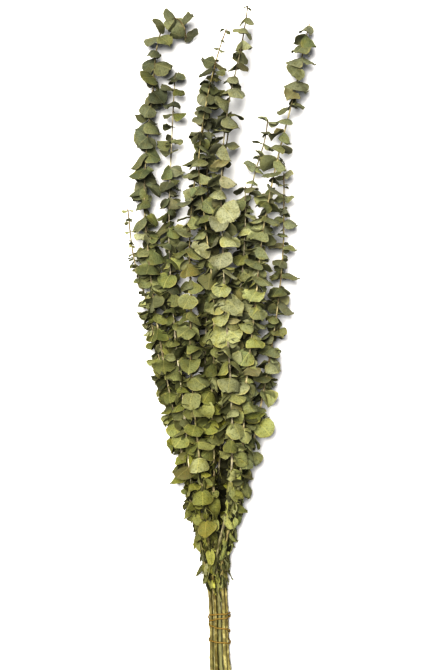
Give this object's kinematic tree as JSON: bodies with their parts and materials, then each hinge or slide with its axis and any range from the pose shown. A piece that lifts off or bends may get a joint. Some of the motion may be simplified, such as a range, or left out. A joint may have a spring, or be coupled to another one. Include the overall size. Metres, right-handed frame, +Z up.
{
  "type": "bunch of dried eucalyptus",
  "caption": "Long, narrow bunch of dried eucalyptus stems with round opposite leaves, bound near the cut ends by a rubber band, lying flat.",
  "frame": {"origin": "under the middle of the bunch's own box, on the surface that it lies on", "axes": "+Y along the bunch from the cut ends to the tips, +X across it, +Z up from the surface"},
  "size_m": [0.2124, 0.7252, 0.0735],
  "materials": {
    "dried_foliage": "dry, matte dried leaf and stem, sage to yellow-green",
    "rubber": "semi-matte amber rubber"
  },
  "bodies": {
    "root": {"leafy_stem_01": "dried_foliage", "leafy_stem_02": "dried_foliage", "leafy_stem_03": "dried_foliage", "leafy_stem_04": "dried_foliage", "leafy_stem_05": "dried_foliage", "leafy_stem_06": "dried_foliage", "leafy_stem_07": "dried_foliage", "leafy_stem_08": "dried_foliage", "leafy_stem_09": "dried_foliage", "leafy_stem_10": "dried_foliage", "leafy_stem_11": "dried_foliage", "leafy_stem_12": "dried_foliage", "rubber_band": "rubber"}
  },
  "joints": []
}
